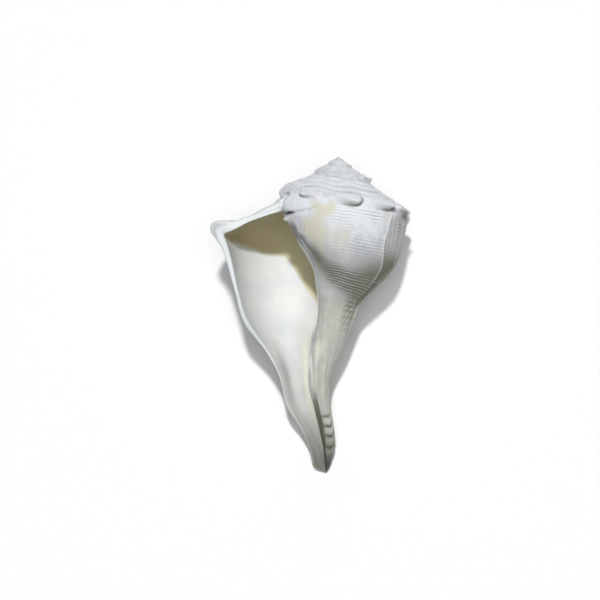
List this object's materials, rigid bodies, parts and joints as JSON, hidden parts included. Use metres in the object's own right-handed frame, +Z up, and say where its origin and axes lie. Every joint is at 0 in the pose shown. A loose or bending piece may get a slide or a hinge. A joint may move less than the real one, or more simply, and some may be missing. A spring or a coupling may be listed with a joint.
{
  "type": "knobbed sea shell",
  "caption": "White knobbed sea shell with a low spire, a wide flared lip and a long open canal, lying on its back with the aperture up.",
  "frame": {"origin": "Centre of the footprint, on the surface that the shell lies on.", "axes": "+Z is up, out of the aperture. +Y runs from the canal's tip toward the apex of the spire. -X is the side of the flared lip."},
  "size_m": [0.1008, 0.1518, 0.0791],
  "materials": {
    "shell": "chalky outside, smooth and slightly glossy inside"
  },
  "bodies": {
    "root": {"shell": "shell"}
  },
  "joints": []
}
